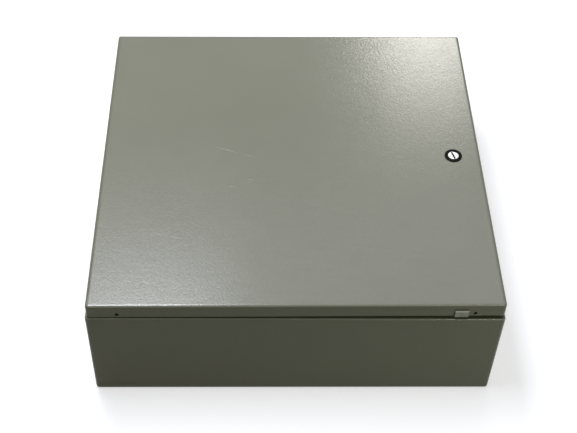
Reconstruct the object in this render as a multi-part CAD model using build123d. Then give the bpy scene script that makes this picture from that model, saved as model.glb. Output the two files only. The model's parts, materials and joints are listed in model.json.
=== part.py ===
from build123d import *
import os
from math import cos, hypot, pi, radians, tan

# Wall-mounting electrical enclosure with a hinged door and a quarter-turn latch, in millimetres.
# The origin is the centre of the back face. +X points to the latch side, +Y to the top edge
# and +Z out through the door. The door is drawn shut, then set a little ajar about its hinges.

# Sheet steel body
BODY_WIDTH = 609.6
BODY_HEIGHT = 609.6
LEDGE_HEIGHT = 177.2
SHEET = 1.5
BEND_RADIUS = 1.0
BACK_BEND_RADIUS = 3.0
CORNER_EASE = 0.5
WALL_HOLE_DIAMETER = 9.0

# Door
DOOR_INSET = 2.5
DOOR_GAP = 2.0
DOOR_DEPTH = 24.0
DOOR_BEND_RADIUS = 2.5
DOOR_AJAR_DEGREES = 0.5
FLANGE_HOLE_DIAMETER = 6.0
FLANGE_HOLE_INSET = 44.0
FLANGE_HOLE_RISE = 5.5

# Foamed gasket on the door, closing on the top of the upstand
GASKET_WIDTH = 9.0
GASKET_HEIGHT = 6.0
GASKET_ROUND = 2.0
GASKET_CORNER_RADIUS = 8.0
GASKET_CLEARANCE = 0.3

# Concealed hinges, each a rolled leaf on the body, a rolled leaf on the door and a pin
HINGE_LENGTH = 60.0
HINGE_INSET = 105.0
HINGE_LEAF = 1.5
HINGE_PIN_DIAMETER = 4.0
HINGE_PIN_CLEARANCE = 0.05
HINGE_KNUCKLE_GAP = 0.4
HINGE_FLANGE_CLEARANCE = 0.8
HINGE_SWEEP_CLEARANCE = 0.8
HINGE_GASKET_CLEARANCE = 0.6
HINGE_FOOT_CLEARANCE = 2.0
HINGE_BASE_CLEARANCE = 2.0
PIN_HEAD_DIAMETER = 6.4
PIN_HEAD_HEIGHT = 1.2
PIN_TAIL = 2.4
RING_THICKNESS = 0.8
RING_DIAMETER = 7.0
RING_GROOVE_DEPTH = 0.5
RING_MOUTH = 2.6

# Mounting panel on collar studs
PANEL_SHEET = 1.9
PANEL_MARGIN = 14.0
PANEL_FLANGE = 15.0
PANEL_HOLE_INSET = 12.5
PANEL_HOLE_CLEARANCE = 0.6
STUD_DIAMETER = 8.0
STUD_COLLAR_DIAMETER = 14.0
STUD_COLLAR_HEIGHT = 20.0
STUD_LENGTH = 14.0
PANEL_WASHER_DIAMETER = 17.0
PANEL_WASHER_THICKNESS = 1.6
PANEL_NUT_ACROSS = 13.0
PANEL_NUT_HEIGHT = 6.5

# Earthing points on the body's side wall and on the door
EARTH_STUD_DIAMETER = 6.0
EARTH_STUD_LENGTH = 18.0
EARTH_BASE_DIAMETER = 9.0
EARTH_BASE_HEIGHT = 1.2
EARTH_WASHER_DIAMETER = 12.0
EARTH_WASHER_THICKNESS = 1.6
EARTH_NUT_ACROSS = 10.0
EARTH_NUT_HEIGHT = 5.0
EARTH_INSET = 115.0
BOND_INSET = 48.0

# Quarter-turn latch
LATCH_BEZEL_DIAMETER = 28.0
LATCH_BEZEL_HEIGHT = 1.1
LATCH_BEZEL_ROUND = 0.6
LATCH_SEAL_THICKNESS = 0.4
LATCH_SEAL_MARGIN = 1.0
LATCH_BARREL_DIAMETER = 20.0
LATCH_BARREL_FLATS = 18.0
LATCH_BARREL_LENGTH = 20.0
LATCH_HOLE_CLEARANCE = 0.2
LATCH_NUT_ACROSS = 24.0
LATCH_NUT_HEIGHT = 5.0
LATCH_GASKET_CLEARANCE = 2.8
LATCH_TO_LOCK_DEGREES = 75.0
DRIVER_HEAD_DIAMETER = 17.0
DRIVER_HEAD_HEIGHT = 2.2
DRIVER_SUNK = 0.5
DRIVER_FLOAT = 0.1
DRIVER_SLOT_WIDTH = 3.2
DRIVER_SLOT_DEPTH = 1.5
DRIVER_SLOT_MARGIN = 0.8
DRIVER_SHAFT_DIAMETER = 10.0
DRIVER_SQUARE = 6.8
DRIVER_CLEARANCE = 0.05
CAM_THICKNESS = 2.5
CAM_WIDTH = 14.0
CAM_BEND_RADIUS = 1.0
CAM_ROOT = 8.5
CAM_SLOPE_RUN = 7.0
CAM_END_GAP = 0.4
CAM_WALL_CLEARANCE = 4.0
CAM_LEDGE_CLEARANCE = 0.5
CAM_WASHER_DIAMETER = 12.0
CAM_WASHER_THICKNESS = 1.2
CAM_SCREW_DIAMETER = 5.0
CAM_SCREW_LENGTH = 9.0
CAM_SCREW_ACROSS = 8.0
CAM_SCREW_HEAD = 3.5

# Spring clip on the door's bottom flange
CLIP_WIDTH = 20.0
CLIP_INSET = 54.0
CLIP_SHEET = 1.2
CLIP_STANDOFF = 1.0
CLIP_HEIGHT = 13.3
CLIP_INNER_HEIGHT = 8.0

# Shared fits and cuts
THREAD_CLEARANCE = 0.05
WASHER_CLEARANCE = 0.3
OVERRUN = 5.0

# Sides of a fold line, as seen from its first fold
INSIDE_FOLD = Side.RIGHT
OUTSIDE_FOLD = Side.LEFT

# Folded edges
OUTER_BEND = BEND_RADIUS + SHEET
OUTER_BACK_BEND = BACK_BEND_RADIUS + SHEET
CORNER_RADIUS = OUTER_BACK_BEND + CORNER_EASE
RIM_CORNER_RADIUS = OUTER_BEND + CORNER_EASE
OUTER_DOOR_BEND = DOOR_BEND_RADIUS + SHEET
DOOR_CORNER_RADIUS = OUTER_DOOR_BEND + CORNER_EASE

# Heights of the shut door and of what meets it
FLANGE_EDGE = LEDGE_HEIGHT + DOOR_GAP
DOOR_FACE = FLANGE_EDGE + DOOR_DEPTH
DOOR_INNER = DOOR_FACE - SHEET
GASKET_BOTTOM = DOOR_INNER - GASKET_HEIGHT
COLLAR_TOP = GASKET_BOTTOM - GASKET_CLEARANCE
LEDGE_UNDERSIDE = LEDGE_HEIGHT - SHEET

# Hinge axis: as near the door's corner as its knuckles allow, just under the gasket
DOOR_HALF_WIDTH = BODY_WIDTH / 2 - DOOR_INSET
DOOR_HALF_HEIGHT = BODY_HEIGHT / 2 - DOOR_INSET
PIN_BORE_RADIUS = HINGE_PIN_DIAMETER / 2 + HINGE_PIN_CLEARANCE
KNUCKLE_RADIUS = PIN_BORE_RADIUS + HINGE_LEAF
KNUCKLE_LENGTH = (HINGE_LENGTH - 2 * HINGE_KNUCKLE_GAP) / 3
HINGE_X = -DOOR_HALF_WIDTH + SHEET + HINGE_FLANGE_CLEARANCE + KNUCKLE_RADIUS
HINGE_Y = BODY_HEIGHT / 2 - HINGE_INSET
HINGE_Z = GASKET_BOTTOM - HINGE_GASKET_CLEARANCE - KNUCKLE_RADIUS
HINGE_AXIS = Axis((HINGE_X, 0, HINGE_Z), (0, -1, 0))

# The upstand clears the circle that the edge of the turning door flange sweeps
FLANGE_SWEEP = hypot(HINGE_X + DOOR_HALF_WIDTH, HINGE_Z - FLANGE_EDGE)
COLLAR_X = -HINGE_X - FLANGE_SWEEP - HINGE_SWEEP_CLEARANCE - HINGE_LEAF
LEDGE_WIDTH = BODY_WIDTH / 2 - COLLAR_X
COLLAR_Y = BODY_HEIGHT / 2 - LEDGE_WIDTH
OPENING_X = COLLAR_X - SHEET
OPENING_Y = COLLAR_Y - SHEET
GASKET_X = COLLAR_X - SHEET / 2
GASKET_Y = COLLAR_Y - SHEET / 2

# The panel passes the opening, and the wall holes lie between the two
PANEL_X = OPENING_X - PANEL_MARGIN
PANEL_Y = OPENING_Y - PANEL_MARGIN
PANEL_BACK = SHEET + STUD_COLLAR_HEIGHT
PANEL_FRONT = PANEL_BACK + PANEL_SHEET
STUD_X = PANEL_X - PANEL_HOLE_INSET
STUD_Y = PANEL_Y - PANEL_HOLE_INSET
WALL_HOLE_X = PANEL_X + PANEL_MARGIN / 2
WALL_HOLE_Y = PANEL_Y + PANEL_MARGIN / 2

# Latch axis: the latch nut just clears the gasket
LATCH_NUT_CORNER = LATCH_NUT_ACROSS / 2 / cos(pi / 6)
LATCH_X = GASKET_X - GASKET_WIDTH / 2 - LATCH_GASKET_CLEARANCE - LATCH_NUT_CORNER
LATCH_AXIS = Axis((LATCH_X, 0, 0), (0, 0, 1))
BEZEL_BOTTOM = DOOR_FACE + LATCH_SEAL_THICKNESS
BEZEL_TOP = BEZEL_BOTTOM + LATCH_BEZEL_HEIGHT
BARREL_END = BEZEL_BOTTOM - LATCH_BARREL_LENGTH
DRIVER_TOP = BEZEL_TOP - DRIVER_SUNK
DRIVER_SEAT = DRIVER_TOP - DRIVER_HEAD_HEIGHT

# The cam reaches under the ledge, and clears it while the door stands ajar
CAM_TOP = BARREL_END - CAM_END_GAP
CAM_BOTTOM = CAM_TOP - CAM_THICKNESS
CAM_REACH = BODY_WIDTH / 2 - SHEET - CAM_WALL_CLEARANCE - LATCH_X
AJAR_LIFT = (LATCH_X + CAM_REACH - HINGE_X) * tan(radians(DOOR_AJAR_DEGREES))
CAM_TIP_TOP = LEDGE_UNDERSIDE - AJAR_LIFT - CAM_LEDGE_CLEARANCE


def rounded_block(half_width, half_height, depth, corner):
    """A block standing on Z = 0 with round upright corners."""
    return extrude(RectangleRounded(2 * half_width, 2 * half_height, corner), amount=depth)


def round_rim(block, end, radius):
    """Round the rims of a block's lowest (0) or highest (-1) face."""
    return fillet(block.faces().sort_by(Axis.Z)[end].edges(), radius)


def rod(diameter, length):
    """A round bar standing on Z = 0."""
    return extrude(Circle(diameter / 2), amount=length)


def sleeve(outer_diameter, bore_diameter, length):
    """A round sleeve standing on Z = 0."""
    return extrude(Circle(outer_diameter / 2) - Circle(bore_diameter / 2), amount=length)


def hex_blank(across, height):
    """A hexagon standing on Z = 0 with its upper corners turned down to a cone."""
    corner = across / 2 / cos(pi / 6)
    hexagon = extrude(RegularPolygon(across / 2, 6, major_radius=False), amount=height)
    turned = rod(2 * corner, height)
    return hexagon & chamfer(turned.edges().sort_by(Axis.Z)[-1], corner - across / 2)


def hex_nut(across, thread_diameter, height):
    """A hexagon nut standing on Z = 0, easy on its thread."""
    return hex_blank(across, height) - rod(thread_diameter + 2 * THREAD_CLEARANCE, height)


def at_four_corners(piece, x, y):
    """Separate copies of one piece at the corners of a rectangle."""
    places = [(side * x, end * y) for side in (-1, 1) for end in (-1, 1)]
    return Compound([(Pos(px, py, 0) * piece).solids()[0] for px, py in places])


def along_y(face, length, middle):
    """Extrude an X-Z face evenly to both sides of a place on Y."""
    return Pos(0, middle, 0) * extrude(face, amount=length / 2, both=True)


def xz_face(*points):
    """A flat face in the X-Z plane from its corners."""
    return make_face(Plane.XZ * Polyline(*points, close=True))


def xz_rectangle(low_x, low_z, high_x, high_z):
    """An upright rectangle in the X-Z plane."""
    return xz_face((low_x, low_z), (high_x, low_z), (high_x, high_z), (low_x, high_z))


def xz_ring():
    """The rolled eye of a hinge leaf, round the hinge axis."""
    eye = Circle(KNUCKLE_RADIUS) - Circle(PIN_BORE_RADIUS)
    return Plane.XZ * Pos(HINGE_X, HINGE_Z) * eye


def folded_strip(plane, line, sheet, width, side):
    """A strip of sheet folded along a line, with its thickness inside or outside the first fold."""
    outline = (plane * line).wire().offset_2d(sheet, kind=Kind.ARC, side=side, closed=True)
    return extrude(make_face(outline.edges()), amount=width / 2, both=True)


def enclosure_body():
    """Five-sided shell with a ledge and an upstand folded round its opening."""
    outer = rounded_block(BODY_WIDTH / 2, BODY_HEIGHT / 2, LEDGE_HEIGHT, CORNER_RADIUS)
    outer = round_rim(round_rim(outer, 0, OUTER_BACK_BEND), -1, OUTER_BEND)
    inner = rounded_block(
        BODY_WIDTH / 2 - SHEET, BODY_HEIGHT / 2 - SHEET, LEDGE_UNDERSIDE - SHEET, CORNER_RADIUS - SHEET
    )
    inner = round_rim(round_rim(inner, 0, BACK_BEND_RADIUS), -1, BEND_RADIUS)
    shell = outer - Pos(0, 0, SHEET) * inner
    collar = rounded_block(COLLAR_X, COLLAR_Y, COLLAR_TOP - LEDGE_UNDERSIDE, RIM_CORNER_RADIUS)
    mouth = rounded_block(
        OPENING_X, OPENING_Y, COLLAR_TOP - LEDGE_UNDERSIDE + 2 * OVERRUN, RIM_CORNER_RADIUS - SHEET
    )
    shell += Pos(0, 0, LEDGE_UNDERSIDE) * collar
    shell -= Pos(0, 0, LEDGE_UNDERSIDE - OVERRUN) * mouth
    # Flat faces from the back up: back, floor, ledge underside, ledge, rim of the upstand
    flats = shell.faces().filter_by(Axis.Z).sort_by(Axis.Z)
    shell = fillet(flats[3].inner_wires()[0].edges(), BEND_RADIUS)
    flats = shell.faces().filter_by(Axis.Z).sort_by(Axis.Z)
    shell = fillet(flats[2].inner_wires()[0].edges(), OUTER_BEND)
    holes = at_four_corners(rod(WALL_HOLE_DIAMETER, SHEET + 2 * OVERRUN), WALL_HOLE_X, WALL_HOLE_Y)
    return shell - Pos(0, 0, -OVERRUN) * holes


def mounting_panel():
    """Flat panel with its two side edges folded back, and a hole over each stud."""
    low = PANEL_FRONT - PANEL_FLANGE
    inner_x = PANEL_X - PANEL_SHEET
    inner_line = Polyline((inner_x, low), (inner_x, PANEL_BACK), (-inner_x, PANEL_BACK), (-inner_x, low))
    panel = folded_strip(Plane.XZ, inner_line, PANEL_SHEET, 2 * PANEL_Y, OUTSIDE_FOLD)
    hole = rod(STUD_DIAMETER + 2 * PANEL_HOLE_CLEARANCE, PANEL_SHEET + 2 * OVERRUN)
    return panel - Pos(0, 0, PANEL_BACK - OVERRUN) * at_four_corners(hole, STUD_X, STUD_Y)


def panel_stud():
    """Collar stud: the panel sits on the collar, and the thread stands through it."""
    collar = rod(STUD_COLLAR_DIAMETER, STUD_COLLAR_HEIGHT)
    return Pos(0, 0, SHEET) * (collar + rod(STUD_DIAMETER, STUD_COLLAR_HEIGHT + STUD_LENGTH))


def panel_washer():
    """Flat washer on the panel."""
    bore = STUD_DIAMETER + 2 * WASHER_CLEARANCE
    return Pos(0, 0, PANEL_FRONT) * sleeve(PANEL_WASHER_DIAMETER, bore, PANEL_WASHER_THICKNESS)


def panel_nut():
    """Nut that clamps the panel down on its collar."""
    nut = hex_nut(PANEL_NUT_ACROSS, STUD_DIAMETER, PANEL_NUT_HEIGHT)
    return Pos(0, 0, PANEL_FRONT + PANEL_WASHER_THICKNESS) * nut


def earthing_point(prefix, place):
    """Welded stud with its washer and nut, standing on a sheet at a place."""
    stud = rod(EARTH_BASE_DIAMETER, EARTH_BASE_HEIGHT) + rod(EARTH_STUD_DIAMETER, EARTH_STUD_LENGTH)
    bore = EARTH_STUD_DIAMETER + 2 * WASHER_CLEARANCE
    washer = sleeve(EARTH_WASHER_DIAMETER, bore, EARTH_WASHER_THICKNESS)
    nut = hex_nut(EARTH_NUT_ACROSS, EARTH_STUD_DIAMETER, EARTH_NUT_HEIGHT)
    return {
        f"{prefix}_stud": place * stud,
        f"{prefix}_washer": place * Pos(0, 0, EARTH_BASE_HEIGHT) * washer,
        f"{prefix}_nut": place * Pos(0, 0, EARTH_BASE_HEIGHT + EARTH_WASHER_THICKNESS) * nut,
    }


def body_leaf(middle):
    """Body half of a hinge: folded down on the upstand, with one rolled eye in its middle."""
    top = HINGE_Z + KNUCKLE_RADIUS
    left = HINGE_X + KNUCKLE_RADIUS + HINGE_KNUCKLE_GAP
    foot = LEDGE_HEIGHT + HINGE_FOOT_CLEARANCE
    line = FilletPolyline(
        (left, top), (-COLLAR_X, top), (-COLLAR_X, foot), radius=BEND_RADIUS + HINGE_LEAF
    )
    plate = Pos(0, middle, 0) * folded_strip(Plane.XZ, line, HINGE_LEAF, HINGE_LENGTH, INSIDE_FOLD)
    tongue = xz_rectangle(HINGE_X, top - HINGE_LEAF, left, top)
    return plate + along_y(xz_ring() + tongue - eye_bore(), KNUCKLE_LENGTH, middle)


def eye_bore():
    """The pin's running hole, as an X-Z face."""
    return Plane.XZ * Pos(HINGE_X, HINGE_Z) * Circle(PIN_BORE_RADIUS)


def door_leaf(middle):
    """Door half of a hinge: flat on the door's inside, with a rolled eye at each end."""
    outside = HINGE_X - KNUCKLE_RADIUS
    inside = -GASKET_X - GASKET_WIDTH / 2 - HINGE_BASE_CLEARANCE
    bend = BEND_RADIUS + HINGE_LEAF
    line = FilletPolyline(
        (outside, HINGE_Z), (outside, DOOR_INNER), (inside, DOOR_INNER), radius=bend
    )
    base = xz_rectangle(outside + bend, DOOR_INNER - HINGE_LEAF, inside, DOOR_INNER)
    leaf = along_y(base, HINGE_LENGTH, middle)
    for end in (-1, 1):
        eye_middle = middle + end * (HINGE_LENGTH - KNUCKLE_LENGTH) / 2
        strip = folded_strip(Plane.XZ, line, HINGE_LEAF, KNUCKLE_LENGTH, INSIDE_FOLD)
        leaf += Pos(0, eye_middle, 0) * strip
        leaf += along_y(xz_ring(), KNUCKLE_LENGTH, eye_middle)
        leaf -= along_y(eye_bore(), KNUCKLE_LENGTH, eye_middle)
    return leaf


def on_hinge(middle, piece):
    """Turn a piece that stands on Z = 0 so that it stands on a hinge's lower end, along +Y."""
    return Pos(HINGE_X, middle - HINGE_LENGTH / 2, HINGE_Z) * Rot(-90, 0, 0) * piece


def hinge_pin(middle):
    """Headed pin with a groove at its tail for a retaining ring."""
    shank = Pos(0, 0, -PIN_TAIL) * rod(HINGE_PIN_DIAMETER, PIN_TAIL + HINGE_LENGTH)
    head = Pos(0, 0, HINGE_LENGTH) * rod(PIN_HEAD_DIAMETER, PIN_HEAD_HEIGHT)
    neck_diameter = HINGE_PIN_DIAMETER - 2 * RING_GROOVE_DEPTH
    groove = Pos(0, 0, -RING_THICKNESS) * sleeve(PIN_HEAD_DIAMETER, neck_diameter, RING_THICKNESS)
    return on_hinge(middle, shank + head - groove)


def hinge_pin_ring(middle):
    """Open spring ring in the pin's groove."""
    bore = HINGE_PIN_DIAMETER - 2 * RING_GROOVE_DEPTH + 2 * THREAD_CLEARANCE
    mouth = Pos(RING_DIAMETER / 2, 0) * Rectangle(RING_DIAMETER, RING_MOUTH)
    open_ring = Circle(RING_DIAMETER / 2) - Circle(bore / 2) - mouth
    return on_hinge(middle, Pos(0, 0, -RING_THICKNESS) * extrude(open_ring, amount=RING_THICKNESS))


def door_shell():
    """Folded pan with round corners, a latch hole and two holes in its bottom flange."""
    outer = rounded_block(DOOR_HALF_WIDTH, DOOR_HALF_HEIGHT, DOOR_DEPTH, DOOR_CORNER_RADIUS)
    outer = round_rim(outer, -1, OUTER_DOOR_BEND)
    hollow = rounded_block(
        DOOR_HALF_WIDTH - SHEET,
        DOOR_HALF_HEIGHT - SHEET,
        DOOR_DEPTH - SHEET + OVERRUN,
        DOOR_CORNER_RADIUS - SHEET,
    )
    hollow = round_rim(hollow, -1, DOOR_BEND_RADIUS)
    pan = Pos(0, 0, FLANGE_EDGE) * (outer - Pos(0, 0, -OVERRUN) * hollow)
    latch_hole = extrude(latch_outline(LATCH_HOLE_CLEARANCE), amount=SHEET + 2 * OVERRUN)
    pan -= Pos(LATCH_X, 0, DOOR_INNER - OVERRUN) * latch_hole
    flange_hole = Rot(90, 0, 0) * rod(FLANGE_HOLE_DIAMETER, SHEET + 2 * OVERRUN)
    for side in (-1, 1):
        x = side * (DOOR_HALF_WIDTH - FLANGE_HOLE_INSET)
        start = -DOOR_HALF_HEIGHT + SHEET + OVERRUN
        pan -= Pos(x, start, FLANGE_EDGE + FLANGE_HOLE_RISE) * flange_hole
    return pan


def door_gasket():
    """Foamed bead round the inside of the door, over the upstand."""
    half = GASKET_WIDTH / 2
    bead = rounded_block(GASKET_X + half, GASKET_Y + half, GASKET_HEIGHT, GASKET_CORNER_RADIUS + half)
    bead -= rounded_block(GASKET_X - half, GASKET_Y - half, GASKET_HEIGHT, GASKET_CORNER_RADIUS - half)
    return Pos(0, 0, GASKET_BOTTOM) * round_rim(bead, 0, GASKET_ROUND)


def edge_clip():
    """Spring clip pushed up over the edge of the bottom flange, its front leg standing off."""
    front = -DOOR_HALF_HEIGHT - CLIP_STANDOFF
    back = -DOOR_HALF_HEIGHT + SHEET
    line = Polyline(
        (front, FLANGE_EDGE + CLIP_HEIGHT),
        (front, FLANGE_EDGE),
        (back, FLANGE_EDGE),
        (back, FLANGE_EDGE + CLIP_INNER_HEIGHT),
    )
    middle = DOOR_HALF_WIDTH - CLIP_INSET - CLIP_WIDTH / 2
    return Pos(middle, 0, 0) * folded_strip(Plane.YZ, line, CLIP_SHEET, CLIP_WIDTH, OUTSIDE_FOLD)


def latch_outline(clearance):
    """The latch barrel's round outline with two flats."""
    radius = LATCH_BARREL_DIAMETER / 2 + clearance
    return Circle(radius) & Rectangle(2 * radius, LATCH_BARREL_FLATS + 2 * clearance)


def on_latch(height, piece):
    """Set a piece that stands on Z = 0 on the latch axis at a height."""
    return Pos(LATCH_X, 0, height) * piece


def latch_housing():
    """Bezel and flatted barrel in one casting, with a stepped bore for the driver."""
    bezel = round_rim(rod(LATCH_BEZEL_DIAMETER, LATCH_BEZEL_HEIGHT), -1, LATCH_BEZEL_ROUND)
    barrel = extrude(latch_outline(0), amount=LATCH_BARREL_LENGTH)
    casting = on_latch(BEZEL_BOTTOM, bezel) + on_latch(BARREL_END, barrel)
    sink = rod(DRIVER_HEAD_DIAMETER + 2 * DRIVER_CLEARANCE, DRIVER_HEAD_HEIGHT + OVERRUN)
    bore = rod(DRIVER_SHAFT_DIAMETER + 2 * DRIVER_CLEARANCE, LATCH_BARREL_LENGTH + OVERRUN)
    casting -= on_latch(DRIVER_SEAT - DRIVER_FLOAT, sink)
    return casting - on_latch(BARREL_END - OVERRUN / 2, bore)


def latch_seal():
    """Flat ring between the bezel and the door."""
    outside = LATCH_BEZEL_DIAMETER - 2 * LATCH_SEAL_MARGIN
    inside = LATCH_BARREL_DIAMETER + 2 * LATCH_HOLE_CLEARANCE
    return on_latch(DOOR_FACE, sleeve(outside, inside, LATCH_SEAL_THICKNESS))


def latch_nut():
    """Hexagon nut that draws the housing against the door."""
    nut = hex_nut(LATCH_NUT_ACROSS, LATCH_BARREL_DIAMETER, LATCH_NUT_HEIGHT)
    return on_latch(DOOR_INNER, Rot(180, 0, 0) * nut)


def latch_driver():
    """Slotted head on a round shaft that ends in a square and a screw hole."""
    head = on_latch(DRIVER_SEAT, rod(DRIVER_HEAD_DIAMETER, DRIVER_HEAD_HEIGHT))
    shaft = on_latch(CAM_TOP, rod(DRIVER_SHAFT_DIAMETER, DRIVER_SEAT - CAM_TOP))
    square = on_latch(CAM_BOTTOM, extrude(Rectangle(DRIVER_SQUARE, DRIVER_SQUARE), amount=CAM_THICKNESS))
    slot_length = DRIVER_HEAD_DIAMETER - 2 * DRIVER_SLOT_MARGIN
    slot = extrude(SlotOverall(slot_length, DRIVER_SLOT_WIDTH), amount=DRIVER_SLOT_DEPTH + OVERRUN)
    hole = rod(CAM_SCREW_DIAMETER + 2 * THREAD_CLEARANCE, CAM_SCREW_LENGTH + CAM_THICKNESS)
    driver = head + shaft + square - on_latch(DRIVER_TOP - DRIVER_SLOT_DEPTH, slot)
    return driver - on_latch(CAM_BOTTOM, hole)


def latch_cam():
    """Cranked cam with round ends and a square hole, drawn in its locked place."""
    start = -CAM_WIDTH / 2
    line = FilletPolyline(
        (start, CAM_TOP),
        (CAM_ROOT, CAM_TOP),
        (CAM_ROOT + CAM_SLOPE_RUN, CAM_TIP_TOP),
        (CAM_REACH, CAM_TIP_TOP),
        radius=CAM_BEND_RADIUS + CAM_THICKNESS,
    )
    strip = folded_strip(Plane.XZ, line, CAM_THICKNESS, CAM_WIDTH, INSIDE_FOLD)
    middle = (start + CAM_REACH) / 2
    plan = extrude(Pos(middle, 0) * SlotOverall(CAM_REACH - start, CAM_WIDTH), amount=DOOR_FACE)
    side = DRIVER_SQUARE + 2 * DRIVER_CLEARANCE
    hole = extrude(Rectangle(side, side), amount=DOOR_FACE)
    return on_latch(0, (strip & plan) - hole)


def cam_washer():
    """Washer under the cam screw."""
    bore = CAM_SCREW_DIAMETER + 2 * WASHER_CLEARANCE
    washer = sleeve(CAM_WASHER_DIAMETER, bore, CAM_WASHER_THICKNESS)
    return on_latch(CAM_BOTTOM - CAM_WASHER_THICKNESS, washer)


def cam_screw():
    """Hexagon screw that holds the cam on the driver."""
    head = Rot(180, 0, 0) * hex_blank(CAM_SCREW_ACROSS, CAM_SCREW_HEAD)
    shank = rod(CAM_SCREW_DIAMETER, CAM_WASHER_THICKNESS + CAM_SCREW_LENGTH)
    return on_latch(CAM_BOTTOM - CAM_WASHER_THICKNESS, head + shank)


side_wall = Pos(-BODY_WIDTH / 2 + SHEET, EARTH_INSET - BODY_HEIGHT / 2, LEDGE_HEIGHT / 2) * Rot(0, 90, 0)
door_inside = Pos(BOND_INSET - OPENING_X, BOND_INSET - OPENING_Y, DOOR_INNER) * Rot(180, 0, 0)

body_pieces = {
    "enclosure_body": enclosure_body(),
    "mounting_panel": mounting_panel(),
    "panel_studs": at_four_corners(panel_stud(), STUD_X, STUD_Y),
    "panel_washers": at_four_corners(panel_washer(), STUD_X, STUD_Y),
    "panel_nuts": at_four_corners(panel_nut(), STUD_X, STUD_Y),
    **earthing_point("ground", side_wall),
    "upper_body_leaf": body_leaf(HINGE_Y),
    "lower_body_leaf": body_leaf(-HINGE_Y),
}

door_pieces = {
    "door_shell": door_shell(),
    "door_gasket": door_gasket(),
    "upper_door_leaf": door_leaf(HINGE_Y),
    "lower_door_leaf": door_leaf(-HINGE_Y),
    "upper_hinge_pin": hinge_pin(HINGE_Y),
    "lower_hinge_pin": hinge_pin(-HINGE_Y),
    "hinge_pin_rings": Compound([hinge_pin_ring(y).solids()[0] for y in (HINGE_Y, -HINGE_Y)]),
    **earthing_point("bond", door_inside),
    "latch_housing": latch_housing(),
    "latch_seal": latch_seal(),
    "latch_nut": latch_nut(),
    "edge_clip": edge_clip(),
}

latch_pieces = {
    "latch_driver": latch_driver(),
    "latch_cam": latch_cam(),
    "cam_washer": cam_washer(),
    "cam_screw": cam_screw(),
}

# The latch stands short of locked, and the whole door stands ajar
for name, piece in latch_pieces.items():
    door_pieces[name] = piece.rotate(LATCH_AXIS, -LATCH_TO_LOCK_DEGREES)

os.makedirs("parts", exist_ok=True)
for name, piece in body_pieces.items():
    export_step(piece, f"parts/{name}.step")
for name, piece in door_pieces.items():
    export_step(piece.rotate(HINGE_AXIS, DOOR_AJAR_DEGREES), f"parts/{name}.step")
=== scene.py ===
# %% [markdown]
# # An electrical enclosure
# A square sheet steel box for electrical gear lies on its back, with its door a few millimetres ajar.
# The measured solids come in first as a fixed frame, and every finish and small form is added round them.
# Working in metres in the solids' own frame means that nothing has to be fitted by eye.

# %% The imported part
import json
import math

import bmesh
import bpy
from mathutils import Matrix, Vector


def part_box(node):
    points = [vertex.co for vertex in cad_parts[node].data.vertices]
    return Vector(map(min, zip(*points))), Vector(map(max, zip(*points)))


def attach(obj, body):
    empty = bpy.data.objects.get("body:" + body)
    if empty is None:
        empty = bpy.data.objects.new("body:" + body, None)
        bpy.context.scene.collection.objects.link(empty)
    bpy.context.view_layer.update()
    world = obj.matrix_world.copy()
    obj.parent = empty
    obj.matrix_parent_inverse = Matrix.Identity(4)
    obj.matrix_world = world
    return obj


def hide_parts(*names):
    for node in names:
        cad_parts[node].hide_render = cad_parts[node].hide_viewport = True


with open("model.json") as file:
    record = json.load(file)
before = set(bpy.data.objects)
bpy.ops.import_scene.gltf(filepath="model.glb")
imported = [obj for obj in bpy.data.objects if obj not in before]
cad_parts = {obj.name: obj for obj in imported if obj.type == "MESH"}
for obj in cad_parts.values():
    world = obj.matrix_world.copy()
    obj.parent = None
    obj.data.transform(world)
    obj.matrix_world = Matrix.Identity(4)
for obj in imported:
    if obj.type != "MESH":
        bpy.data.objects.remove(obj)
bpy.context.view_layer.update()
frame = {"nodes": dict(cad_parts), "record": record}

pieces = frame["nodes"]

# %% [markdown]
# ## The camera
# The picture was taken from in front of the box's bottom edge, looking down at about 48 degrees.
# A camera can be set by eye, or worked out from where the box's known corners fall in the picture.
# The second way was used here, and then refined until the outlines met. Such a fit gives the focal length
# in pixels of the picture, so it is kept that way and turned into millimetres below.

# %% Camera from the box's corners
PICTURE_WIDTH = 577
FOCAL_LENGTH_IN_PIXELS = 1139.0
SENSOR_WIDTH_MM = 36.0
CAMERA_PLACE = (-0.0648, -1.2922, 1.4978)
CAMERA_TURN_DEGREES = (41.961, -1.837, 0.213)

camera_data = bpy.data.cameras.new("camera")
camera_data.sensor_fit = "HORIZONTAL"
camera_data.sensor_width = SENSOR_WIDTH_MM
camera_data.lens = FOCAL_LENGTH_IN_PIXELS / PICTURE_WIDTH * SENSOR_WIDTH_MM
camera = bpy.data.objects.new("camera", camera_data)
camera.location = CAMERA_PLACE
camera.rotation_mode = "ZYX"
camera.rotation_euler = [math.radians(degrees) for degrees in CAMERA_TURN_DEGREES]
bpy.context.scene.collection.objects.link(camera)
bpy.context.scene.camera = camera
bpy.context.scene.view_settings.view_transform = "Standard"
print("lens:", round(camera_data.lens, 2), "mm")

# %% [markdown]
# ## Small helpers for node materials
# Every finish below is a node tree, and written out in full each tree would bury what matters.
# A few helpers keep it short: one starts a material, one adds a node, and the rest are the sums
# that come back in every finish. A link is given as another node's output, and anything else
# is taken as the socket's own value. Noise seldom leaves the middle of its range, so what a finish needs
# is mostly a stretch of that middle: the pairs of numbers named a range below say which part is stretched.

# %% Material helpers
def new_finish(name):
    """Start a material and return it with its tree and its shader."""
    material = bpy.data.materials.new(name)
    material.use_nodes = True
    return material, material.node_tree, material.node_tree.nodes["Principled BSDF"]


def fill_socket(tree, socket, value):
    """Link a socket to another node's output, or give it a value of its own."""
    if isinstance(value, bpy.types.NodeSocket):
        tree.links.new(value, socket)
    else:
        socket.default_value = value


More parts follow.
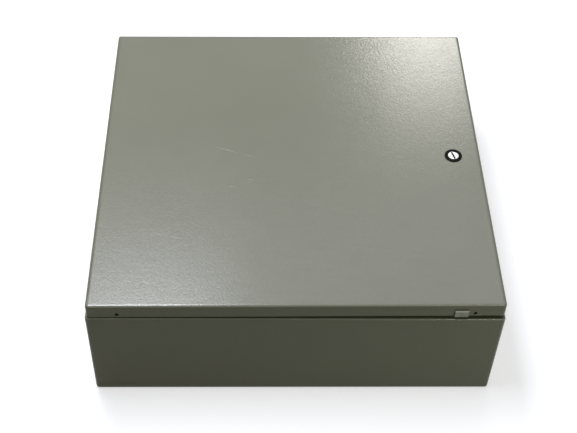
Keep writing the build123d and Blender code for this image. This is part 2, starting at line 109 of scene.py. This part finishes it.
def add_node(tree, kind, inputs, **settings):
    """Add a node, set its properties, and fill its sockets with values or links."""
    node = tree.nodes.new(kind)
    for name, value in settings.items():
        setattr(node, name, value)
    for name, value in inputs.items():
        fill_socket(tree, node.inputs[name], value)
    return node


def surface_place(tree):
    """The place on the piece, in metres."""
    return add_node(tree, "ShaderNodeTexCoord", {}).outputs["Object"]


def along(tree, vector, axis):
    """One coordinate of a place or direction."""
    return add_node(tree, "ShaderNodeSeparateXYZ", {"Vector": vector}).outputs[axis]


def facing_up(tree):
    """How far the surface faces up: 1 for a lid, 0 for a wall."""
    return along(tree, add_node(tree, "ShaderNodeTexCoord", {}).outputs["Normal"], "Z")


def cloud(tree, place, size, detail=2.0):
    """Soft random patches of about one size, from 0 to 1."""
    inputs = {"Vector": place, "Scale": 1.0 / size, "Detail": detail}
    return add_node(tree, "ShaderNodeTexNoise", inputs).outputs["Fac"]


def spread(tree, value, low, high, to_low=0.0, to_high=1.0):
    """Stretch a range of values to another one, and stop at its ends."""
    inputs = {"Value": value, "From Min": low, "From Max": high, "To Min": to_low, "To Max": to_high}
    return add_node(tree, "ShaderNodeMapRange", inputs).outputs["Result"]


def blend_colours(tree, share, first, second):
    """Mix two colours by a share."""
    node = add_node(tree, "ShaderNodeMix", {0: share, 6: first, 7: second}, data_type="RGBA")
    return node.outputs[2]


def calculate(tree, operation, first, second):
    """One sum on two values."""
    return add_node(tree, "ShaderNodeMath", {0: first, 1: second}, operation=operation).outputs[0]


def raise_surface(tree, shader, height, depth, layer="Normal"):
    """Let a value from 0 to 1 stand up from a layer of the surface by a depth in metres."""
    bump = add_node(tree, "ShaderNodeBump", {"Height": height, "Strength": 1.0, "Distance": depth})
    tree.links.new(bump.outputs["Normal"], shader.inputs[layer])


print("helpers ready")

# %% [markdown]
# ## Grey powder coat
# The box and its door are sprayed with dry powder and baked. The skin melts into a fine orange peel,
# semi-gloss, with faint clouds of lighter and darker grey where it lies thicker or has been rubbed.
# A photograph could be wrapped round it, but noise in the piece's own metres has no seams and any size.

# %% Grey coat, with its orange peel and clouds
GREY_LIGHT = (0.192, 0.197, 0.138, 1.0)
GREY_DARK = (0.166, 0.171, 0.118, 1.0)
GREY_SPECULAR = 0.15
GREY_SMOOTH = 0.22
GREY_ROUGH = 0.28
PEEL_SIZE = 0.0042
PEEL_DEPTH = 0.00020
PATCH_SIZE = 0.16
GRAIN_SIZE = 0.0012
GRAIN_SHARE = 0.25
GRAIN_RANGE = (0.2, 0.8)


def grey_coat(name):
    """The coat's colour, gloss and orange peel; returns what later wear needs."""
    material, tree, shader = new_finish(name)
    place = surface_place(tree)
    grain = spread(tree, cloud(tree, place, GRAIN_SIZE), *GRAIN_RANGE, -GRAIN_SHARE, GRAIN_SHARE)
    tone = calculate(tree, "ADD", cloud(tree, place, PATCH_SIZE), grain)
    colour = blend_colours(tree, spread(tree, tone, 0.0, 1.0), GREY_DARK, GREY_LIGHT)
    tree.links.new(colour, shader.inputs["Base Color"])
    gloss = spread(tree, cloud(tree, place, PATCH_SIZE / 3, 3.0), 0.0, 1.0, GREY_SMOOTH, GREY_ROUGH)
    tree.links.new(gloss, shader.inputs["Roughness"])
    shader.inputs["Specular IOR Level"].default_value = GREY_SPECULAR
    raise_surface(tree, shader, cloud(tree, place, PEEL_SIZE), PEEL_DEPTH)
    return material, tree, shader, place, colour, gloss


print("grey coat from", GREY_DARK[:3], "to", GREY_LIGHT[:3])

# %% [markdown]
# ## The body's rubbed bend
# Hands have polished the body's front bend on the latch side, so a bright line shows along it.
# The line could be painted on, but the surface's own direction already tells where a sheet bends:
# there it faces neither straight up nor straight ahead. A clear layer on the coat carries the polish,
# and grows from the middle of the box towards the latch.

# %% Body coat with a polished bend
RUBBED_FROM = -0.05
RUBBED_TO = 0.30
RUBBED_ROUGHNESS = 0.05
BEND_START_RANGE = (0.35, 0.55)
BEND_END_RANGE = (0.80, 0.90)
SKIN_INDEX = 1.6

body_grey, tree, shader, place = grey_coat("body_grey_coat")[:4]
slope = facing_up(tree)
past_wall = spread(tree, slope, *BEND_START_RANGE)
short_of_top = spread(tree, slope, *BEND_END_RANGE, 1.0, 0.0)
bend = calculate(tree, "MULTIPLY", past_wall, short_of_top)
rubbed = spread(tree, along(tree, place, "X"), RUBBED_FROM, RUBBED_TO)
tree.links.new(calculate(tree, "MULTIPLY", bend, rubbed), shader.inputs["Coat Weight"])
shader.inputs["Coat Roughness"].default_value = RUBBED_ROUGHNESS
shader.inputs["Coat IOR"].default_value = SKIN_INDEX
print("body coat:", body_grey.name)

# %% [markdown]
# ## Scratches, wear and a painted highlight on the door
# The door carries a few pale scratches across its middle, a scuffed patch near its lower hinge corner,
# pale marks along the two bends of its front hinge-side corner, which paint that corner's highlight as well
# as its wear, and one dark speck. They could be painted on a picture, but here each mark is a stretched soft
# ball placed
# in metres: a Mapping node moves, turns and squeezes the place until the mark is one unit round. Noise breaks
# the marks up, so that none looks drawn, and what faces up takes them, so that none shows on the door's
# inside.

# %% Scratches, specks and a painted corner highlight in the door's coat
SCRATCH_AND_GLINT_COLOUR = (0.36, 0.365, 0.33, 1.0)
SCRATCH_AND_GLINT_STRENGTH = 0.6
SCRATCH_AND_GLINT_DULLING = 0.2
SCRATCH_AND_GLINT_RANGE = (0.1, 0.6)
BREAK_SIZE = 0.006
BREAK_LEAST = 0.2
BREAK_RANGE = (0.35, 0.6)
SPECK_COLOUR = (0.03, 0.03, 0.025, 1.0)
SPECK_STRENGTH = 0.8
SPECK_RANGE = (0.2, 0.5)
FACE_RANGE = (0.3, 0.8)
MARK_DEPTH = 0.5
# Middle X and Y, length, width and direction in degrees
SCRATCHES_AND_GLINTS = (
    (-0.105, 0.014, 0.060, 0.0026, -21),
    (-0.071, 0.001, 0.034, 0.0018, -18),
    (-0.067, -0.053, 0.012, 0.0026, -12),
    (-0.069, -0.058, 0.007, 0.0034, -15),
    (-0.096, -0.067, 0.024, 0.0022, -5),
    (-0.203, -0.166, 0.034, 0.0024, -12),
    (-0.178, -0.172, 0.032, 0.0020, -17),
    (-0.216, -0.226, 0.042, 0.0020, -1),
    (-0.257, -0.235, 0.014, 0.0022, 0),
    (-0.220, -0.235, 0.029, 0.0022, -2),
    (-0.244, -0.245, 0.033, 0.0022, 0),
    (-0.216, -0.246, 0.020, 0.0024, -2),
    (-0.220, -0.257, 0.025, 0.0026, -4),
    (-0.216, -0.260, 0.012, 0.0034, -4),
    # The last two rows lie along the front corner's two bends and paint their highlight as well as their
    # wear.
    (-0.293, -0.2995, 0.022, 0.0060, 0),
    (-0.299, -0.290, 0.026, 0.0050, 90),
)
SPECKS = ((-0.159, -0.280, 0.005, 0.0046, 0),)


def soft_marks(tree, place, marks):
    """The strongest of several stretched soft balls."""
    strongest = 0.0
    for x, y, length, width, degrees in marks:
        inputs = {
            "Vector": place,
            "Location": (x, y, 0.0),
            "Rotation": (0.0, 0.0, math.radians(degrees)),
            "Scale": (length / 2, width / 2, MARK_DEPTH),
        }
        local = add_node(tree, "ShaderNodeMapping", inputs, vector_type="TEXTURE").outputs["Vector"]
        ball = add_node(tree, "ShaderNodeTexGradient", {"Vector": local}, gradient_type="SPHERICAL")
        strongest = calculate(tree, "MAXIMUM", ball.outputs["Fac"], strongest)
    return strongest


door_grey, tree, shader, place, colour, gloss = grey_coat("door_grey_coat")
upward = spread(tree, facing_up(tree), *FACE_RANGE)
breaks = spread(tree, cloud(tree, place, BREAK_SIZE, 3.0), *BREAK_RANGE, BREAK_LEAST, 1.0)
strokes_and_glints = spread(tree, soft_marks(tree, place, SCRATCHES_AND_GLINTS), *SCRATCH_AND_GLINT_RANGE, 0.0, SCRATCH_AND_GLINT_STRENGTH)
scratches_and_glints = calculate(tree, "MULTIPLY", calculate(tree, "MULTIPLY", strokes_and_glints, breaks), upward)
dots = spread(tree, soft_marks(tree, place, SPECKS), *SPECK_RANGE, 0.0, SPECK_STRENGTH)
specks = calculate(tree, "MULTIPLY", dots, upward)
# The pale colour is scratches, and at the front corner also a painted highlight.
worn_and_glinting = blend_colours(tree, scratches_and_glints, colour, SCRATCH_AND_GLINT_COLOUR)
tree.links.new(blend_colours(tree, specks, worn_and_glinting, SPECK_COLOUR), shader.inputs["Base Color"])
dulling = calculate(tree, "MULTIPLY", scratches_and_glints, SCRATCH_AND_GLINT_DULLING)
tree.links.new(calculate(tree, "ADD", gloss, dulling), shader.inputs["Roughness"])
print("door coat:", len(SCRATCHES_AND_GLINTS), "scratches,", len(SPECKS), "specks")

# %% [markdown]
# ## Clear skin on the door
# The door lies flat while it is baked, so its powder flows out smoother on the outer face and ends in
# a glassy skin that shows the lights as soft sheens. A second gloss layer on the coat stands for it.
# It pulls back from the two side bends while it flows, so they look darker than the face.
# Wiping smears and small pits thin the skin, and a fine ripple gives the sheens their grain.

# %% Clear skin with smears, pits and a ripple
SKIN_ROUGHNESS = 0.17
SKIN_FULL_AT = 0.2960
SKIN_GONE_AT = 0.2990
SMEAR_LENGTH = 0.05
SMEAR_SQUEEZE = 6.0
SMEAR_LEAST = 0.88
SMEAR_RANGE = (0.3, 0.6)
PIT_SIZE = 0.0032
PIT_LEAST = 0.80
PIT_RANGE = (0.35, 0.6)
RIPPLE_SIZE = 0.0036
RIPPLE_DEPTH = 0.00017

squeezed = {"Vector": place, "Scale": (1.0, SMEAR_SQUEEZE, 1.0)}
wiped = add_node(tree, "ShaderNodeMapping", squeezed).outputs["Vector"]
smears = spread(tree, cloud(tree, wiped, SMEAR_LENGTH, 5.0), *SMEAR_RANGE, SMEAR_LEAST, 1.0)
pits = spread(tree, cloud(tree, place, PIT_SIZE, 3.0), *PIT_RANGE, PIT_LEAST, 1.0)
off_middle = calculate(tree, "ABSOLUTE", along(tree, place, "X"), 0.0)
kept = spread(tree, off_middle, SKIN_FULL_AT, SKIN_GONE_AT, 1.0, 0.0)
covered = calculate(tree, "MULTIPLY", upward, kept)
skin = calculate(tree, "MULTIPLY", covered, calculate(tree, "MULTIPLY", smears, pits))
tree.links.new(skin, shader.inputs["Coat Weight"])
shader.inputs["Coat Roughness"].default_value = SKIN_ROUGHNESS
shader.inputs["Coat IOR"].default_value = SKIN_INDEX
raise_surface(tree, shader, cloud(tree, place, RIPPLE_SIZE), RIPPLE_DEPTH, "Coat Normal")
print("clear skin on", door_grey.name)

# %% [markdown]
# ## White coat of the mounting panel
# The inner panel is powder coated too, in white, so that wires and gear show up on it.
# It has the same orange peel, and faint grey clouds from handling.

# %% White coat
WHITE_CLEAN = (0.80, 0.80, 0.775, 1.0)
WHITE_HANDLED = (0.765, 0.765, 0.74, 1.0)
WHITE_ROUGHNESS = 0.32
HANDLED_RANGE = (0.3, 0.8)

white_coat, tree, shader = new_finish("white_coat")
place = surface_place(tree)
handled = spread(tree, cloud(tree, place, PATCH_SIZE, 5.0), *HANDLED_RANGE)
tree.links.new(blend_colours(tree, handled, WHITE_CLEAN, WHITE_HANDLED), shader.inputs["Base Color"])
shader.inputs["Roughness"].default_value = WHITE_ROUGHNESS
raise_surface(tree, shader, cloud(tree, place, PEEL_SIZE), PEEL_DEPTH)
print("panel coat:", white_coat.name)

# %% [markdown]
# ## Bare metals
# Studs, nuts, washers, pins and the latch cam are zinc plated: a bright grey with a faint yellow bloom.
# The clip on the door's edge is dull spring steel, with a highlight painted along its upper lip.
# One function makes both, because only their colours, gloss and grain differ.

# %% Zinc and spring steel
METAL_GRAIN_DEPTH = 0.00002
PATCH_RANGE = (0.3, 0.7)
LIP_HEIGHT = 0.0032
LIP_HIGHLIGHT_COLOUR = (0.26, 0.26, 0.215, 1.0)


def bare_metal(name, light, dark, smooth, rough, patch):
    """A metal with two tones and a gloss that changes from patch to patch."""
    material, tree, shader = new_finish(name)
    place = surface_place(tree)
    patches = spread(tree, cloud(tree, place, patch, 4.0), *PATCH_RANGE)
    colour = blend_colours(tree, patches, light, dark)
    tree.links.new(colour, shader.inputs["Base Color"])
    tree.links.new(spread(tree, patches, 0.0, 1.0, smooth, rough), shader.inputs["Roughness"])
    shader.inputs["Metallic"].default_value = 1.0
    raise_surface(tree, shader, cloud(tree, place, patch / 8), METAL_GRAIN_DEPTH)
    return material, tree, shader, place, colour


zinc_plate = bare_metal(
    "zinc_plate", light=(0.66, 0.66, 0.64, 1), dark=(0.52, 0.51, 0.46, 1),
    smooth=0.26, rough=0.42, patch=0.010,
)[0]
spring_steel, tree, shader, place, colour = bare_metal(
    "spring_steel", light=(0.145, 0.145, 0.113, 1), dark=(0.112, 0.112, 0.088, 1),
    smooth=0.42, rough=0.55, patch=0.008,
)
clip_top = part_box("edge_clip")[1].z
# Painted highlight: the clip's top few millimetres are coloured lighter, for the light on its upper edge.
lip_highlight = spread(tree, along(tree, place, "Z"), clip_top - LIP_HEIGHT, clip_top - LIP_HEIGHT / 2)
tree.links.new(blend_colours(tree, lip_highlight, colour, LIP_HIGHLIGHT_COLOUR), shader.inputs["Base Color"])
print("metals:", zinc_plate.name, spring_steel.name)

# %% [markdown]
# ## The latch's driver
# The slotted driver is turned and polished, so fine rings run round its axis. The shade inside its slot
# is painted on as a dark, dull colour. It could be a second material on the slot's faces, but those faces
# can't be picked by name. Here the place is moved to the latch's axis instead, and what lies below the face
# is painted dark.

# %% Polished driver with painted shade in its slot
DRIVER_BRIGHT = (0.57, 0.57, 0.56, 1.0)
DRIVER_ROUGHNESS = 0.18
SLOT_SHADE_COLOUR = (0.020, 0.019, 0.017, 1.0)
SLOT_ROUGHNESS = 0.7
DRIVER_FACE = 0.0010
SLOT_SHADE_START = 0.0003
SLOT_SHADE_FULL = 0.0008
RING_PITCH = 0.0006
RING_DEPTH = 0.00001
# A wave texture of scale 1 repeats about every 0.3 units
WAVE_REPEAT = 0.3
DOOR_AJAR = math.radians(0.5)

joints = frame["record"]["behaviour"]["joints"]
latch_axis = next(joint["pos_m"] for joint in joints if joint["name"] == "latch_turn")
polished_metal, tree, shader = new_finish("polished_metal")
moved = {"Vector": surface_place(tree), "Location": latch_axis, "Rotation": (0.0, -DOOR_AJAR, 0.0)}
on_axis = add_node(tree, "ShaderNodeMapping", moved, vector_type="TEXTURE").outputs["Vector"]
height = along(tree, on_axis, "Z")
# Painted shade: below the driver's face the colour turns dark and dull and loses its metal, standing for the
# shade in the slot.
slot_shade = spread(tree, height, DRIVER_FACE - SLOT_SHADE_FULL, DRIVER_FACE - SLOT_SHADE_START, 1.0, 0.0)
roughness = spread(tree, slot_shade, 0.0, 1.0, DRIVER_ROUGHNESS, SLOT_ROUGHNESS)
tree.links.new(blend_colours(tree, slot_shade, DRIVER_BRIGHT, SLOT_SHADE_COLOUR), shader.inputs["Base Color"])
tree.links.new(roughness, shader.inputs["Roughness"])
tree.links.new(spread(tree, slot_shade, 0.0, 1.0, 1.0, 0.0), shader.inputs["Metallic"])
waves = {"Vector": on_axis, "Scale": WAVE_REPEAT / RING_PITCH}
rings = add_node(tree, "ShaderNodeTexWave", waves, wave_type="RINGS", rings_direction="Z")
raise_surface(tree, shader, rings.outputs["Fac"], RING_DEPTH)
print("driver finish about", latch_axis)

# %% [markdown]
# ## Black casting, foam and rubber
# The latch housing is a small black casting with a satin skin. The door's gasket is poured as foam
# and sets with a soft pebbled skin, and the latch sits on a smooth rubber ring.
# All three are dark and differ by gloss and by how coarse their skin is.

# %% Dark finishes
CASTING_SPECULAR = 0.04


def dark_skin(name, low, high, roughness, pebble, depth):
    """A dark grey surface between two tones, with a pebbled skin."""
    material, tree, shader = new_finish(name)
    place = surface_place(tree)
    patches = spread(tree, cloud(tree, place, pebble * 4, 4.0), *PATCH_RANGE)
    tree.links.new(blend_colours(tree, patches, low, high), shader.inputs["Base Color"])
    shader.inputs["Roughness"].default_value = roughness
    raise_surface(tree, shader, cloud(tree, place, pebble, 3.0), depth)
    return material, shader


black_casting, shader = dark_skin(
    "black_casting", low=(0.006, 0.006, 0.006, 1), high=(0.010, 0.010, 0.010, 1),
    roughness=0.5, pebble=0.0009, depth=0.00003,
)
shader.inputs["Specular IOR Level"].default_value = CASTING_SPECULAR
foam_skin = dark_skin(
    "foam_skin", low=(0.030, 0.030, 0.030, 1), high=(0.050, 0.050, 0.049, 1),
    roughness=0.85, pebble=0.0016, depth=0.00025,
)[0]
rubber_skin = dark_skin(
    "rubber_skin", low=(0.016, 0.016, 0.016, 1), high=(0.026, 0.026, 0.026, 1),
    roughness=0.6, pebble=0.0012, depth=0.00005,
)[0]
print("dark finishes:", black_casting.name, foam_skin.name, rubber_skin.name)

# %% [markdown]
# ## Finishes on the solids
# Each solid says in the part's record which finish it carries, so the materials go on by that slot's name.
# The door has a coat of its own because only it is scratched and carries the clear skin.

# %% Put the finishes on
slot_finishes = {
    "grey_coat": body_grey,
    "white_coat": white_coat,
    "zinc_plate": zinc_plate,
    "foam_seal": foam_skin,
    "rubber_seal": rubber_skin,
    "black_latch": black_casting,
    "bright_driver": polished_metal,
    "spring_clip": spring_steel,
}


def coat(piece, material):
    """Give a piece one finish all over."""
    piece.data.materials.clear()
    piece.data.materials.append(material)


for subpart in frame["record"]["subparts"]:
    coat(pieces[subpart["node"]], slot_finishes[subpart["material_slot"]])
coat(pieces["door_shell"], door_grey)

# %% [markdown]
# ## Threaded studs
# The panel's studs and the two earthing studs have rolled threads, which the solids leave plain.
# A thread can be a texture, but its teeth show on the outline of a stud, so it is made as a form:
# one tooth's outline is spun about the stud while it climbs by one pitch a turn.
# The helix is then cut off flat at both ends and closed.

# %% A thread as a spun tooth
THREAD_STEPS = 20
TOOTH_DEPTH_SHARE = 0.6
CREST_SHARES = (0.45, 0.55)
RING_SEGMENTS = 32
RING_EASE_SHARE = 1 / 12
WELD_SHARE = 1 / 1000


def thread(bm, radius, pitch, bottom, top):
    """A threaded rod along Z between two heights."""
    root = radius - TOOTH_DEPTH_SHARE * pitch
    low = bottom - pitch
    heights = (low, *(low + share * pitch for share in CREST_SHARES), low + pitch)
    reaches = (root, radius, radius, root)
    tooth = [bm.verts.new((reach, 0, height)) for reach, height in zip(reaches, heights)]
    outline = tooth + [bm.edges.new(pair) for pair in zip(tooth, tooth[1:])]
    turns = math.ceil((top - bottom) / pitch) + 2
    bmesh.ops.spin(
        bm, geom=outline, cent=(0, 0, 0), axis=(0, 0, 1), dvec=(0, 0, pitch / THREAD_STEPS),
        angle=2 * math.pi * turns, steps=THREAD_STEPS * turns, use_merge=False,
    )
    bmesh.ops.remove_doubles(bm, verts=bm.verts[:], dist=pitch * WELD_SHARE)
    for height, outward in ((bottom, -1), (top, 1)):
        cut = bmesh.ops.bisect_plane(
            bm, geom=bm.verts[:] + bm.edges[:] + bm.faces[:],
            plane_co=(0, 0, height), plane_no=(0, 0, outward),
            clear_outer=True, dist=pitch * WELD_SHARE,
        )
        rim = [element for element in cut["geom_cut"] if isinstance(element, bmesh.types.BMEdge)]
        bmesh.ops.contextual_create(bm, geom=rim)


def lathe_ring(bm, radius, height, length):
    """A short turned cylinder along Z with its upper edge eased."""
    middle = height + length / 2
    made = bmesh.ops.create_cone(
        bm, cap_ends=True, segments=RING_SEGMENTS, radius1=radius, radius2=radius, depth=length,
        matrix=Matrix.Translation((0, 0, middle)),
    )
    rim = [edge for edge in bm.edges if all(v in made["verts"] and v.co.z > middle for v in edge.verts)]
    bmesh.ops.bevel(
        bm, geom=rim, offset=length * RING_EASE_SHARE, affect="EDGES", segments=2, profile=0.5, material=-1
    )


def finish_piece(name, bm, places, node, body):
    """Copy a form to its places, and let it stand for a solid on a body."""
    bmesh.ops.recalc_face_normals(bm, faces=bm.faces[:])
    form = bpy.data.meshes.new(name + "_form")
    bm.to_mesh(form)
    bm.free()
    whole = bmesh.new()
    for place in places:
        copy = form.copy()
        copy.transform(place)
        whole.from_mesh(copy)
        bpy.data.meshes.remove(copy)
    mesh = bpy.data.meshes.new(name)
    whole.to_mesh(mesh)
    whole.free()
    bpy.data.meshes.remove(form)
    piece = bpy.data.objects.new(name, mesh)
    bpy.context.scene.collection.objects.link(piece)
    coat(piece, zinc_plate)
    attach(piece, body)
    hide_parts(node)
    print(name, "triangles:", sum(len(face.vertices) - 2 for face in mesh.polygons))


print("thread steps a turn:", THREAD_STEPS)

# %% [markdown]
# ### The panel's four studs
# Each has a collar that the panel rests on and a thread that stands through it.
# One stud is made on the origin and copied to the four corners, measured from the solid's own box.

# %% Panel studs
COLLAR_RADIUS = 0.007
STUD_RADIUS = 0.004
STUD_PITCH = 0.00125
PANEL_SHEET = 0.0019

stud_low, stud_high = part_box("panel_studs")
panel_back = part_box("panel_washers")[0].z - PANEL_SHEET
stud = bmesh.new()
thread(stud, STUD_RADIUS, STUD_PITCH, panel_back, stud_high.z)
lathe_ring(stud, COLLAR_RADIUS, stud_low.z, panel_back - stud_low.z)
stud_x, stud_y = stud_high.x - COLLAR_RADIUS, stud_high.y - COLLAR_RADIUS
corners = [Matrix.Translation((x * stud_x, y * stud_y, 0)) for x in (-1, 1) for y in (-1, 1)]
finish_piece("threaded_panel_studs", stud, corners, "panel_studs", "enclosure")

# %% [markdown]
# ### The two earthing studs
# One stands on the side wall inside the box and one on the inside of the door.
# The same stud is made twice, laid along +X for the wall and hung along the tilted door for the other.

# %% Earthing studs
EARTH_RADIUS = 0.003
EARTH_PITCH = 0.001
EARTH_BASE_RADIUS = 0.0045
EARTH_BASE_HEIGHT = 0.0012
EARTH_LENGTH = 0.018


def earth_stud():
    """A welded stud standing on the origin."""
    bm = bmesh.new()
    thread(bm, EARTH_RADIUS, EARTH_PITCH, EARTH_BASE_HEIGHT, EARTH_LENGTH)
    lathe_ring(bm, EARTH_BASE_RADIUS, 0.0, EARTH_BASE_HEIGHT)
    return bm


low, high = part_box("ground_stud")
foot = Vector((low.x, (low.y + high.y) / 2, (low.z + high.z) / 2))
wall_place = Matrix.Translation(foot) @ Matrix.Rotation(math.pi / 2, 4, "Y")
finish_piece("threaded_ground_stud", earth_stud(), [wall_place], "ground_stud", "enclosure")

low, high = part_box("bond_stud")
hang = Matrix.Rotation(math.pi - DOOR_AJAR, 4, "Y")
middle = Vector(((low.x + high.x) / 2, (low.y + high.y) / 2, (low.z + high.z) / 2))
door_place = Matrix.Translation(middle - hang @ Vector((0, 0, EARTH_LENGTH / 2))) @ hang
finish_piece("threaded_bond_stud", earth_stud(), [door_place], "bond_stud", "door")

# %% [markdown]
# ## Floor
# The box lies on a white floor. A white floor could be made by more light, but that would bleach the box.
# Instead it glows a little, only for rays from the camera and in reflections, and throws back little light.
# The glow is weaker near the box, so that the box keeps its shadow, and full farther off.

# %% White floor
FLOOR_SIZE = 14.0
FLOOR_DROP = 0.0002
FLOOR_SEEN = (0.72, 0.72, 0.72, 1.0)
FLOOR_BOUNCE = (0.14, 0.13, 0.04, 1.0)
FLOOR_LIFT_NEAR = 0.55
FLOOR_LIFT_FAR = 1.0
FLOOR_NEAR = 1.0
FLOOR_FAR = 3.0


def seen_directly(tree):
    """1 for camera, glossy and transmission rays, 0 for the light that bounces about."""
    path = tree.nodes.new("ShaderNodeLightPath")
    seen = calculate(tree, "MAXIMUM", path.outputs["Is Camera Ray"], path.outputs["Is Glossy Ray"])
    return calculate(tree, "MAXIMUM", seen, path.outputs["Is Transmission Ray"])


floor_paint, tree, shader = new_finish("floor_paint")
seen = seen_directly(tree)
tree.links.new(blend_colours(tree, seen, FLOOR_BOUNCE, FLOOR_SEEN), shader.inputs["Base Color"])
away = add_node(tree, "ShaderNodeVectorMath", {0: surface_place(tree)}, operation="LENGTH").outputs["Value"]
lift = spread(tree, away, FLOOR_NEAR, FLOOR_FAR, FLOOR_LIFT_NEAR, FLOOR_LIFT_FAR)
tree.links.new(calculate(tree, "MULTIPLY", seen, lift), shader.inputs["Emission Strength"])
shader.inputs["Emission Color"].default_value = (1, 1, 1, 1)
shader.inputs["Roughness"].default_value = 1.0
shader.inputs["Specular IOR Level"].default_value = 0.0

floor_form = bmesh.new()
floor_place = Matrix.Translation((0, 0, -FLOOR_DROP))
bmesh.ops.create_grid(floor_form, x_segments=1, y_segments=1, size=FLOOR_SIZE / 2, matrix=floor_place)
floor_mesh = bpy.data.meshes.new("floor")
floor_form.to_mesh(floor_mesh)
floor_form.free()
floor = bpy.data.objects.new("floor", floor_mesh)
bpy.context.scene.collection.objects.link(floor)
coat(floor, floor_paint)
print("floor:", FLOOR_SIZE, "m square")

# %% [markdown]
# ## Lamps and sky
# A wide ceiling light gives the plain level. A strip overhead and a window beyond the far edge are small
# and brighter, and show as the two sheens in the door's skin. Each has dimmer panels at one end,
# so that its sheen fades out instead of stopping at an edge.
# The front wall of the box faces away from all of these. A panel that stands low on the latch side lights it,
# out of the door's sight, so that the door can't mirror it. A narrow lamp draws the line on the rubbed bend.
# Lamps are set by radiance, the brightness of their face, because that is what a sheen shows.
# The sky is white to look at but lights little.

# %% Lamps
CEILING_HEIGHT = 2.4
HUNG_HEIGHT = 2.35
WALL_TARGET = (0.2, -0.3, 0.10)
BEND_TARGET = (0.2, -0.3, 0.15)
SKYLIGHT = (0.98, 1.0, 1.17)
SUNLIGHT = (1.03, 1.0, 0.95)
TUBELIGHT = (0.99, 1.0, 1.10)
LAMPLIGHT = (0.96, 1.0, 0.66)


def light_panel(name, place, target, width, height, radiance, colour):
    """A flat soft light that faces a target, as bright all over as its radiance."""
    data = bpy.data.lights.new(name, "AREA")
    data.shape = "RECTANGLE"
    data.size, data.size_y = width, height
    data.energy = radiance * math.pi * width * height
    data.color = colour
    lamp = bpy.data.objects.new(name, data)
    lamp.location = place
    lamp.rotation_euler = (Vector(target) - Vector(place)).to_track_quat("-Z", "Y").to_euler()
    bpy.context.scene.collection.objects.link(lamp)
    print(name, round(data.energy, 1), "W")


def panel_above(name, place, width, length, radiance, colour):
    """A light panel that hangs level and faces straight down."""
    light_panel(name, place, (*place[:2], 0.0), width, length, radiance, colour)


panel_above("ceiling_light", (0.3, 0.6, CEILING_HEIGHT), 3.0, 2.8, radiance=0.61, colour=SKYLIGHT)
panel_above("far_window", (0.74, 3.20, HUNG_HEIGHT), 0.50, 0.9, radiance=10.7, colour=SUNLIGHT)
panel_above("far_window_foot", (0.74, 2.55, HUNG_HEIGHT), 0.42, 0.4, radiance=4.0, colour=SUNLIGHT)
panel_above("overhead_strip", (-0.54, 0.18, HUNG_HEIGHT), 0.55, 1.35, radiance=13.9, colour=TUBELIGHT)
panel_above("strip_middle", (-0.53, 1.08, HUNG_HEIGHT), 0.62, 0.45, radiance=6.0, colour=TUBELIGHT)
panel_above("strip_foot", (-0.53, 1.48, HUNG_HEIGHT), 0.64, 0.35, radiance=1.8, colour=TUBELIGHT)
light_panel("front_wall", (1.0, -0.85, 0.10), WALL_TARGET, 0.8, 0.18, radiance=4.8, colour=TUBELIGHT)
light_panel("front_lamp", (0.95, -2.2, 1.8), BEND_TARGET, 0.80, 0.10, radiance=28.0, colour=LAMPLIGHT)

# %% Sky
SKY_FILL = 0.05
SKY_SEEN = 1.0

world = bpy.data.worlds.new("pale_room")
bpy.context.scene.world = world
world.use_nodes = True
tree = world.node_tree
sky = tree.nodes["Background"]
sky.inputs["Color"].default_value = (1.0, 1.0, 1.0, 1.0)
tree.links.new(spread(tree, seen_directly(tree), 0.0, 1.0, SKY_FILL, SKY_SEEN), sky.inputs["Strength"])
print("sky fill:", SKY_FILL)
